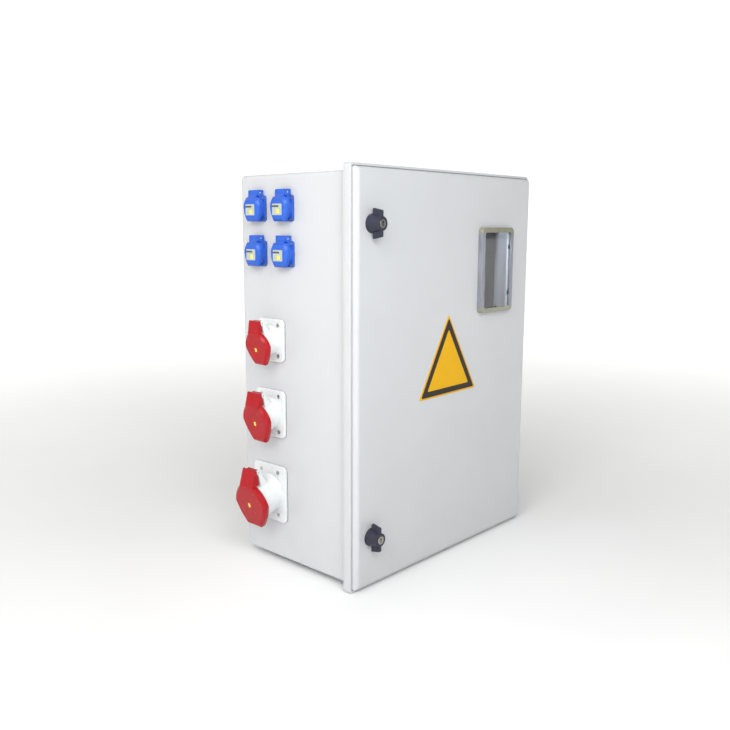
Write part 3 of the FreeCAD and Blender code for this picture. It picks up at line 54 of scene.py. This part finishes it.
RIM_FRONT = SHELL_LOW.y
MID_X = (SHELL_LOW.x + SHELL_HIGH.x) / 2


# ---------------------------------------------------------------- material graphs

class Graph:
    """A material under construction: nodes are made and wired in one call each."""

    def __init__(self, name):
        self.material = bpy.data.materials.new(name)
        self.material.use_nodes = True
        self.tree = self.material.node_tree
        self.tree.nodes.clear()
        self.out = self.tree.nodes.new("ShaderNodeOutputMaterial")
        self.coords = self.tree.nodes.new("ShaderNodeTexCoord").outputs["Object"]

    def node(self, kind, settings=None, **inputs):
        made = self.tree.nodes.new("ShaderNode" + kind)
        for key, value in (settings or {}).items():
            setattr(made, key, value)
        for key, value in inputs.items():
            self.feed(made.inputs[key.replace("_", " ")], value)
        return made

    def feed(self, socket, value):
        if isinstance(value, bpy.types.NodeSocket):
            self.tree.links.new(value, socket)
        else:
            socket.default_value = value

    def noise(self, scale, detail=3.0, rough=0.55, stretch=None):
        vector = self.coords
        if stretch:
            vector = self.node("Mapping", Vector=vector, Scale=stretch).outputs["Vector"]
        return self.node("TexNoise", Vector=vector, Scale=scale, Detail=detail,
                         Roughness=rough).outputs["Fac"]

    def span(self, value, low, high, start=0.3, end=0.7):
        made = self.node("MapRange", Value=value)
        made.inputs["From Min"].default_value = start
        made.inputs["From Max"].default_value = end
        made.inputs["To Min"].default_value = low
        made.inputs["To Max"].default_value = high
        return made.outputs["Result"]

    def math(self, operation, first, second=0.0):
        made = self.node("Math", {"operation": operation})
        self.feed(made.inputs[0], first)
        self.feed(made.inputs[1], second)
        return made.outputs[0]

    def mix(self, factor, first, second):
        made = self.node("Mix", {"data_type": "RGBA"})
        self.feed(made.inputs[0], factor)
        for socket, value in ((made.inputs[6], first), (made.inputs[7], second)):
            self.feed(socket, value if isinstance(value, bpy.types.NodeSocket) else (*value, 1.0))
        return made.outputs[2]

    def axis(self, name):
        return self.node("SeparateXYZ", Vector=self.coords).outputs[name]

    def rounded(self, radius):
        return self.node("Bevel", {"samples": 4}, Radius=radius).outputs["Normal"]

    def bump(self, height, strength, distance, normal=None):
        made = self.node("Bump", Height=height, Strength=strength, Distance=distance)
        if normal is not None:
            self.feed(made.inputs["Normal"], normal)
        return made.outputs["Normal"]

    def finish(self, shader):
        self.tree.links.new(shader, self.out.inputs["Surface"])
        return self.material


def shades(tone, change):
    return [min(1.0, c * (1 - change)) for c in tone], [min(1.0, c * (1 + change)) for c in tone]


def moulding(name, tone, rough, mottle=0.04, mottle_scale=14.0, grain=0.05, grain_scale=900.0,
             edge=0.0007, coat=0.0, low_darkening=0.0, specular=0.5, scuff=0.0, subsurface=0.0):
    """Moulded plastic or rubber: cloudy tone, uneven gloss, fine surface texture, softened edges."""
    g = Graph(name)
    dark, light = shades(tone, mottle)
    cloud = g.span(g.noise(mottle_scale, 4.0), 0.0, 1.0)
    colour = g.mix(cloud, dark, light)
    speck = g.span(g.noise(grain_scale * 0.35, 2.0), 0.0, 1.0, 0.35, 0.65)
    colour = g.mix(g.math("MULTIPLY", speck, 0.25), colour, light)
    gloss = g.span(g.noise(mottle_scale * 2.3, 5.0, 0.65), rough * 0.82, min(1.0, rough * 1.2))
    if scuff:
        marks = g.noise(70.0, 6.0, 0.7, (1.0, 1.0, 0.18))
        worn = g.span(marks, 0.0, scuff, 0.6, 0.8)
        colour = g.mix(worn, colour, [min(1.0, c * 0.6 + 0.25) for c in tone])
        gloss = g.math("ADD", gloss, g.math("MULTIPLY", worn, 0.3))
    # blotchy darkening of the colour, strongest at the bottom and faint above 0.25 m
    if low_darkening:
        low_blotches = g.math("MULTIPLY", g.noise(38.0, 6.0, 0.7), g.span(g.axis("Z"), 1.0, 0.1, 0.0, 0.25))
        low_blotches = g.span(low_blotches, 0.0, low_darkening, 0.3, 0.75)
        colour = g.mix(low_blotches, colour, [c * 0.72 for c in tone])
    normal = g.rounded(edge) if edge else None
    normal = g.bump(g.noise(grain_scale, 2.0, 0.6), grain, 0.0004, normal)
    shader = g.node("BsdfPrincipled", Base_Color=colour, Roughness=gloss, Normal=normal, IOR=1.5)
    shader.inputs["Specular IOR Level"].default_value = specular
    shader.inputs["Coat Weight"].default_value = coat
    shader.inputs["Coat Roughness"].default_value = 0.12
    if subsurface:
        shader.inputs["Subsurface Weight"].default_value = subsurface
        shader.inputs["Subsurface Radius"].default_value = (0.004, 0.004, 0.004)
    return g.finish(shader.outputs[0])


def metal(name, tone, rough, stretch=(1.0, 1.0, 14.0), tarnish=0.12, edge=0.0004, spangle=0.0):
    """Bare or plated metal: drawn lines, cloudy plating, slight dulling."""
    g = Graph(name)
    dark, light = shades(tone, tarnish)
    cloud = g.span(g.noise(30.0, 5.0), 0.0, 1.0)
    lines = g.noise(420.0, 3.0, 0.6, stretch)
    colour = g.mix(cloud, dark, light)
    gloss = g.span(lines, rough * 0.75, rough * 1.35)
    if spangle:
        cells = g.node("TexVoronoi", Vector=g.coords, Scale=160.0).outputs["Color"]
        patch = g.node("SeparateColor", Color=cells).outputs[0]
        gloss = g.math("ADD", gloss, g.math("MULTIPLY", patch, spangle))
    normal = g.bump(lines, 0.06, 0.0002, g.rounded(edge))
    shader = g.node("BsdfPrincipled", Base_Color=colour, Roughness=gloss, Normal=normal, Metallic=1.0)
    return g.finish(shader.outputs[0])


def clear_sheet(name, tone, rough):
    """Clear sheet that lets lamps through, with faint wipe marks in its gloss."""
    g = Graph(name)
    wipes = g.noise(60.0, 6.0, 0.7, (1.0, 1.0, 0.3))
    gloss = g.span(wipes, rough * 0.5, rough * 1.6)
    glass = g.node("BsdfPrincipled", Roughness=gloss, IOR=1.45)
    glass.inputs["Base Color"].default_value = (*tone, 1.0)
    glass.inputs["Transmission Weight"].default_value = 1.0
    through = g.node("BsdfTransparent", Color=(*tone, 1.0))
    shadow = g.node("LightPath").outputs["Is Shadow Ray"]
    both = g.node("MixShader", Fac=shadow)
    g.tree.links.new(glass.outputs[0], both.inputs[1])
    g.tree.links.new(through.outputs[0], both.inputs[2])
    return g.finish(both.outputs[0])


def window_moulding(name):
    """Clear-ish window moulding: bars at top and bottom show the olive seal behind them."""
    g = Graph(name)
    low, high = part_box("window_pane")
    mid, half = (low.z + high.z) / 2, (high.z - low.z) / 2
    off_middle = g.math("ABSOLUTE", g.math("SUBTRACT", g.axis("Z"), mid))
    bars = g.span(off_middle, 0.0, 1.0, half - 6 * MM, half - 2 * MM)
    streaks = g.span(g.noise(90.0, 4.0, 0.6, (1.0, 1.0, 0.2)), 0.0, 1.0)
    sides = g.mix(streaks, (0.20, 0.21, 0.24), (0.36, 0.37, 0.42))
    ends = g.mix(streaks, (0.27, 0.27, 0.19), (0.35, 0.35, 0.25))
    colour = g.mix(bars, sides, ends)
    gloss = g.span(g.noise(50.0, 4.0), 0.10, 0.24)
    normal = g.bump(g.noise(300.0, 2.0), 0.03, 0.0003, g.rounded(0.0009))
    shader = g.node("BsdfPrincipled", Base_Color=colour, Roughness=gloss, Normal=normal, IOR=1.5)
    shader.inputs["Transmission Weight"].default_value = 0.22
    shader.inputs["Coat Weight"].default_value = 0.6
    shader.inputs["Coat Roughness"].default_value = 0.05
    return g.finish(shader.outputs[0])


def laminate(name, tone, rough):
    """Pressed laminate sheet: a faint crossed weave under a dull surface."""
    g = Graph(name)
    dark, light = shades(tone, 0.10)
    across = g.noise(260.0, 3.0, 0.6, (1.0, 1.0, 0.08))
    along = g.noise(260.0, 3.0, 0.6, (0.08, 1.0, 1.0))
    weave = g.math("MULTIPLY", g.math("ADD", across, along), 0.5)
    cloud = g.math("MULTIPLY", g.math("ADD", weave, g.noise(9.0, 5.0)), 0.5)
    colour = g.mix(g.span(cloud, 0.0, 1.0, 0.38, 0.62), dark, light)
    gloss = g.span(weave, rough * 0.85, rough * 1.15)
    normal = g.bump(weave, 0.10, 0.0003, g.rounded(0.0004))
    shader = g.node("BsdfPrincipled", Base_Color=colour, Roughness=gloss, Normal=normal)
    return g.finish(shader.outputs[0])


FINISH = {
    "grey_polyester": moulding("grey polyester", (0.56, 0.57, 0.59), 0.36, mottle=0.018,
                               mottle_scale=7.0, grain=0.05, grain_scale=420.0, edge=0.0012,
                               coat=0.15, low_darkening=0.18),
    "black_rubber": moulding("black rubber", (0.022, 0.022, 0.023), 0.72, 0.15, 60.0, 0.12, 1500.0,
                             0.0005, specular=0.35),
    "zinc_steel": metal("zinc steel", (0.58, 0.59, 0.58), 0.30, spangle=0.10),
    "spring_steel": metal("spring steel", (0.66, 0.66, 0.66), 0.22),
    "nickel": metal("nickel", (0.35, 0.34, 0.30), 0.20, (6.0, 1.0, 6.0), 0.06),
    "brass": metal("brass", (0.72, 0.52, 0.20), 0.24, (1.0, 8.0, 1.0), 0.10),
    "smoky_plastic": window_moulding("smoky moulding"),
    "clear_pane": clear_sheet("clear pane", (0.93, 0.95, 0.97), 0.03),
    "yellow_plate": moulding("yellow plate", (0.74, 0.40, 0.003), 0.34, 0.03, 40.0, 0.03, 700.0,
                             0.0002, specular=0.15),
    "black_plastic": moulding("black plastic", (0.028, 0.029, 0.048), 0.40, 0.14, 60.0, 0.10, 1300.0,
                              0.0006, specular=0.3, scuff=0.08),
    "blue_plastic": moulding("blue plastic", (0.024, 0.108, 0.54), 0.24, 0.06, 26.0, 0.03, 500.0,
                             0.0009, coat=0.08, specular=0.30, subsurface=0.03),
    "red_plastic": moulding("red plastic", (0.38, 0.002, 0.007), 0.24, 0.06, 26.0, 0.03, 500.0,
                            0.0009, coat=0.08, specular=0.30, subsurface=0.03),
    "white_plastic": moulding("white plastic", (0.72, 0.75, 0.76), 0.28, 0.02, 22.0, 0.03, 500.0,
                              0.0009, coat=0.3, subsurface=0.05),
    "dark_insert": moulding("dark insert", (0.035, 0.035, 0.038), 0.55, 0.12, 60.0, 0.08, 900.0,
                            0.0004),
    "dark_laminate": laminate("dark laminate", (0.045, 0.050, 0.046), 0.48),
    "duct_plastic": moulding("duct plastic", (0.36, 0.38, 0.41), 0.50, 0.05, 30.0, 0.05, 600.0,
                             0.0005),
    "device_plastic": moulding("device plastic", (0.70, 0.70, 0.66), 0.38, 0.03, 40.0, 0.06, 1100.0,
                               0.0005),
    "toggle_plastic": moulding("toggle plastic", (0.020, 0.020, 0.023), 0.32, 0.12, 60.0, 0.05,
                               900.0, 0.0006),
    "yellow_button": moulding("button plastic", (0.85, 0.58, 0.03), 0.32, 0.04, 60.0, 0.04, 900.0,
                              0.0005),
    "gland_plastic": moulding("gland plastic", (0.34, 0.36, 0.38), 0.45, 0.05, 40.0, 0.08, 1100.0,
                              0.0007),
}
for node_name, node_object in NODES.items():
    node_object.data.materials.clear()
    node_object.data.materials.append(FINISH[SLOT_OF[node_name]])

EXTRA = {
    "border": moulding("sign border ink", (0.026, 0.019, 0.015), 0.42, 0.10, 90.0, 0.03, 900.0, 0,
                       specular=0.25),
    "inlay": moulding("inlay film", (0.42, 0.46, 0.40), 0.38, 0.05, 160.0, 0.03, 900.0, 0.0003),
    "bar": moulding("inlay bar", (0.055, 0.065, 0.085), 0.40, 0.10, 160.0, 0.03, 900.0, 0),
    "spot": moulding("inlay spot", (0.86, 0.72, 0.10), 0.38, 0.06, 160.0, 0.03, 900.0, 0),
}


# ---------------------------------------------------------------- mesh helpers

def add_piece(name, mesh, body, materials, smooth=True):
    """Puts a finished mesh on its body, with its materials."""
    piece = bpy.data.objects.new(name, mesh)
    bpy.context.scene.collection.objects.link(piece)
    for material in materials:
        mesh.materials.append(material)
    if smooth:
        for face in mesh.polygons:
            face.use_smooth = True
        mesh.set_sharp_from_angle(angle=math.radians(35))
    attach(piece, body)
    return piece


def mesh_from(bm, name):
    bmesh.ops.recalc_face_normals(bm, faces=bm.faces)
    mesh = bpy.data.meshes.new(name)
    bm.to_mesh(mesh)
    bm.free()
    return mesh


def skin(bm, rings, cap=True, material=0):
    """Joins loops of equal length into one closed form."""
    made = [[bm.verts.new(p) for p in ring] for ring in rings]
    for lower, upper in zip(made, made[1:]):
        for i in range(len(lower)):
            j = (i + 1) % len(lower)
            bm.faces.new((lower[i], lower[j], upper[j], upper[i])).material_index = material
    if cap:
        bm.faces.new(made[0]).material_index = material
        bm.faces.new(list(reversed(made[-1]))).material_index = material


def rounded_outline(width, height, radius, steps=6):
    """Points (u, v) of a rectangle with rounded corners, about its centre."""
    points = []
    corners = ((1, 1, 0), (-1, 1, 90), (-1, -1, 180), (1, -1, 270))
    for su, sv, start in corners:
        cu, cv = su * (width / 2 - radius), sv * (height / 2 - radius)
        for k in range(steps + 1):
            a = math.radians(start + 90 * k / steps)
            points.append((cu + radius * math.cos(a), cv + radius * math.sin(a)))
    return points


def surface_at(node, start, direction):
    """Where a line first meets a CAD node, and the surface's normal there."""
    mesh = NODES[node].data
    tree = BVHTree.FromPolygons([v.co for v in mesh.vertices], [p.vertices for p in mesh.polygons])
    place, normal, _, _ = tree.ray_cast(Vector(start), Vector(direction))
    return place, normal


def plane_axes(normal):
    """Side and up directions in the plane across normal; up is as near to +Z as it can be."""
    up = (Vector((0, 0, 1)) - normal * normal.z).normalized()
    return up.cross(normal), up


def tile(bm, centre, normal, width, height, radius, low, high, material, lip=0.15 * MM):
    """A thin plate with a softened front edge, lying on a surface."""
    side, up = plane_axes(normal)
    rings = []
    for reach, inset in ((low, 0.0), (high - lip, 0.0), (high, lip)):
        outline = rounded_outline(width - 2 * inset, height - 2 * inset, max(radius - inset, 0.05 * MM))
        rings.append([centre + side * u + up * v + normal * reach for u, v in outline])
    skin(bm, rings, material=material)


def islands(node):
    """The separate solids of a CAD node, as lists of vertex positions."""
    mesh = NODES[node].data
    weld = {}
    root = list(range(len(mesh.vertices)))

    def find(i):
        while root[i] != i:
            root[i] = root[root[i]]
            i = root[i]
        return i

    for vertex in mesh.vertices:
        key = tuple(round(c * 1e6) for c in vertex.co)
        root[find(vertex.index)] = find(weld.setdefault(key, vertex.index))
    for edge in mesh.edges:
        root[find(edge.vertices[0])] = find(edge.vertices[1])
    groups = {}
    for vertex in mesh.vertices:
        groups.setdefault(find(vertex.index), []).append(vertex.co)
    return list(groups.values())


def limits(points):
    low = Vector([min(p[k] for p in points) for k in range(3)])
    high = Vector([max(p[k] for p in points) for k in range(3)])
    return low, high


# ---------------------------------------------------------------- triangular plate's border

def sign_border():
    """Dark band set in from the plate's edge, leaving a thin yellow margin outside it."""
    mesh = NODES["front_plate"].data
    front = min(v.co.y for v in mesh.vertices)
    flat = {(round(v.co.x, 6), round(v.co.z, 6)) for v in mesh.vertices if v.co.y < front + 1e-5}
    rim = [Vector((x, 0, z)) for x, z in flat]
    middle = sum(rim, Vector()) / len(rim)
    rim.sort(key=lambda p: math.atan2(p.z - middle.z, p.x - middle.x))
    # the band shrinks about the centre of the plate's area
    area, centre = 0.0, Vector()
    for p, q in zip(rim, rim[1:] + rim[:1]):
        cross = p.x * q.z - q.x * p.z
        area += cross / 2
        centre += (p + q) * cross / 6
    centre /= area
    bm = bmesh.new()
    loops = []
    outside, inside, raised = 0.94, 0.73, 0.25
    for scale, lift in ((outside, 0.0), (outside, raised), (inside, raised), (inside, 0.0)):
        loops.append([bm.verts.new((centre.x + (p.x - centre.x) * scale, front - lift * MM,
                                    centre.z + (p.z - centre.z) * scale)) for p in rim])
    for lower, upper in zip(loops, loops[1:] + loops[:1]):
        for i in range(len(rim)):
            j = (i + 1) % len(rim)
            bm.faces.new((lower[i], lower[j], upper[j], upper[i]))
    add_piece("sign_border", mesh_from(bm, "sign_border"), "door", [EXTRA["border"]],
              smooth=False)


# ---------------------------------------------------------------- inlays on the lids

def socket_middle(node):
    low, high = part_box(node)
    return (low.y + high.y) / 2, (low.z + high.z) / 2


def lid_inlays():
    """Blank inlays on the fronts of the lids: a sheet, a dark bar and a yellow spot."""
    out = SHELL_LOW.x - 0.3
    sheet_height, below = 24.4 * MM, 15 * MM
    for n in range(1, 5):
        lid = f"domestic_lid_{n}"
        y, _ = socket_middle(lid)
        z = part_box(lid)[0].z + sheet_height
        place, normal = surface_at(lid, (out, y, z - 3.5 * MM), (1, 0, 0))
        side, up = plane_axes(normal)
        bm = bmesh.new()
        tile(bm, place, normal, 25 * MM, 20 * MM, 1.6 * MM, -0.4 * MM, 0.35 * MM, 0)
        tile(bm, place + side * -4 * MM + up * 5.6 * MM, normal, 17 * MM, 3.2 * MM, 0.5 * MM,
             0.2 * MM, 0.5 * MM, 1)
        tile(bm, place + side * 2.5 * MM + up * -3.6 * MM, normal, 7 * MM, 8 * MM, 2.6 * MM,
             0.2 * MM, 0.5 * MM, 2)
        add_piece(f"{lid}_inlay", mesh_from(bm, lid), lid, [EXTRA["inlay"], EXTRA["bar"], EXTRA["spot"]])
    for amps, size in ((16, 0.9), (32, 1.0), (63, 1.1)):
        lid = f"industrial_lid_{amps}"
        y, _ = socket_middle(lid)
        z = socket_middle(f"industrial_socket_{amps}")[1] - below
        place, normal = surface_at(lid, (out, y, z), (1, 0, 0))
        bm = bmesh.new()
        tile(bm, place, normal, 5 * size * MM, 8 * size * MM, 1.4 * MM, -0.4 * MM, 0.4 * MM, 0)
        add_piece(f"{lid}_inlay", mesh_from(bm, lid), lid, [EXTRA["spot"]])


# ---------------------------------------------------------------- springs wound on the lid pins

def coil(bm, low, high, wire, turns, steps=14, sides=8):
    """A wound wire along Y that fills the given box."""
    centre = (low + high) / 2
    radius = (high.z - low.z) / 2 - wire
    span = (high.y - low.y) / 2 - wire
    rings = []
    count = turns * steps
    for k in range(count + 1):
        a = 2 * math.pi * k / steps
        middle = centre + Vector((radius * math.cos(a), -span + 2 * span * k / count, radius * math.sin(a)))
        outward = Vector((math.cos(a), 0, math.sin(a)))
        rings.append([middle + (outward * math.cos(b) + Vector((0, math.sin(b), 0))) * wire
                      for b in (2 * math.pi * s / sides for s in range(sides))])
    skin(bm, rings)


def lid_coils():
    bm = bmesh.new()
    for solid in islands("lid_springs"):
        low, high = limits(solid)
        length = high.y - low.y
        wire = min(0.45 * MM, (high.z - low.z) * 0.12)
        coil(bm, low, high, wire, max(3, int(length / (wire * 2.3))))
    piece = add_piece("lid_coils", mesh_from(bm, "lid_coils"), "enclosure", [FINISH["spring_steel"]])
    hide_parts("lid_springs")


sign_border()
lid_inlays()
lid_coils()


# ---------------------------------------------------------------- floor, light and camera

def floor():
    g = Graph("floor")
    tone = g.mix(g.span(g.noise(1.3, 4.0), 0.0, 1.0), (0.86, 0.86, 0.87), (0.90, 0.90, 0.90))
    away = g.node("VectorMath", {"operation": "LENGTH"})
    g.feed(away.inputs[0], g.coords)
    # painted light: the floor glows more the further it is from the box, so the shade around the box fades
    # to white and the horizon disappears
    painted_glow = g.span(away.outputs["Value"], 0.0, 0.5, 0.55, 3.0)
    shader = g.node("BsdfPrincipled", Base_Color=tone, Roughness=0.85, Emission_Color=(1, 1, 1, 1),
                    Emission_Strength=painted_glow)
    bm = bmesh.new()
    bmesh.ops.create_grid(bm, x_segments=8, y_segments=8, size=40.0)
    mesh = bpy.data.meshes.new("floor")
    bm.to_mesh(mesh)
    bm.free()
    mesh.materials.append(g.finish(shader.outputs[0]))
    ground = bpy.data.objects.new("floor", mesh)
    bpy.context.scene.collection.objects.link(ground)
    ground.location.z = -0.0002


def room_light():
    world = bpy.data.worlds.new("room")
    bpy.context.scene.world = world
    world.use_nodes = True
    tree = world.node_tree
    tree.nodes.clear()
    out = tree.nodes.new("ShaderNodeOutputWorld")
    coords = tree.nodes.new("ShaderNodeTexCoord").outputs["Generated"]
    lean = tree.nodes.new("ShaderNodeVectorMath")
    lean.operation = "DOT_PRODUCT"
    tree.links.new(coords, lean.inputs[0])
    lean.inputs[1].default_value = Vector((-0.84, 0.12, 0.53)).normalized()
    ramp = tree.nodes.new("ShaderNodeMapRange")
    tree.links.new(lean.outputs["Value"], ramp.inputs["Value"])
    ramp.inputs["From Min"].default_value = -0.7
    ramp.inputs["From Max"].default_value = 0.9
    ramp.inputs["To Min"].default_value = 0.16
    ramp.inputs["To Max"].default_value = 0.90
    lit = tree.nodes.new("ShaderNodeBackground")
    lit.inputs["Color"].default_value = (1.0, 1.0, 0.97, 1)
    tree.links.new(ramp.outputs["Result"], lit.inputs["Strength"])
    seen = tree.nodes.new("ShaderNodeBackground")
    seen.inputs["Color"].default_value = (1, 1, 1, 1)
    seen.inputs["Strength"].default_value = 1.1
    both = tree.nodes.new("ShaderNodeMixShader")
    path = tree.nodes.new("ShaderNodeLightPath")
    tree.links.new(path.outputs["Is Camera Ray"], both.inputs["Fac"])
    tree.links.new(lit.outputs[0], both.inputs[1])
    tree.links.new(seen.outputs[0], both.inputs[2])
    tree.links.new(both.outputs[0], out.inputs["Surface"])


def panel_light(name, place, aim, size, power, tone=(1, 1, 1)):
    data = bpy.data.lights.new(name, "AREA")
    data.shape = "DISK"
    data.size = size
    data.energy = power
    data.color = tone
    lamp = bpy.data.objects.new(name, data)
    lamp.location = place
    lamp.rotation_euler = (Vector(aim) - Vector(place)).to_track_quat("-Z", "Y").to_euler()
    bpy.context.scene.collection.objects.link(lamp)


def camera():
    yaw, pitch, roll = math.radians(47.432), math.radians(9.6176), math.radians(0.1714)
    view = Vector((math.sin(yaw) * math.cos(pitch), math.cos(yaw) * math.cos(pitch), -math.sin(pitch)))
    level = Vector((math.cos(yaw), -math.sin(yaw), 0))
    up = level.cross(view)
    right = level * math.cos(roll) + up * math.sin(roll)
    up = right.cross(view)
    turn = Matrix((right, up, -view)).transposed()
    data = bpy.data.cameras.new("camera")
    data.sensor_width = 36.0
    data.lens = 40.179289
    data.clip_end = 200.0
    eye = bpy.data.objects.new("camera", data)
    place = Vector((MID_X - 1.2574, RIM_FRONT - 0.9392, 0.6453))
    eye.matrix_world = Matrix.Translation(place) @ turn.to_4x4()
    bpy.context.scene.collection.objects.link(eye)
    bpy.context.scene.camera = eye


floor()
room_light()
panel_light("key", (-2.6, -0.9, 2.0), (-0.2, 0.0, 0.40), 1.8, 38.0, (1.0, 0.985, 0.97))
panel_light("front", (-0.85, -1.15, 1.15), (-0.20, -0.15, 0.55), 0.7, 10.0, (0.95, 0.98, 1.0))
# stands for the daylight on the right inner wall, seen through the window
panel_light("inner", (MID_X + 0.12, RIM_FRONT + 0.02, 0.69), (MID_X + 0.26, RIM_FRONT + 0.03, 0.54),
            0.05, 0.16, (0.80, 0.86, 1.0))
camera()
bpy.context.scene.view_settings.view_transform = "Standard"
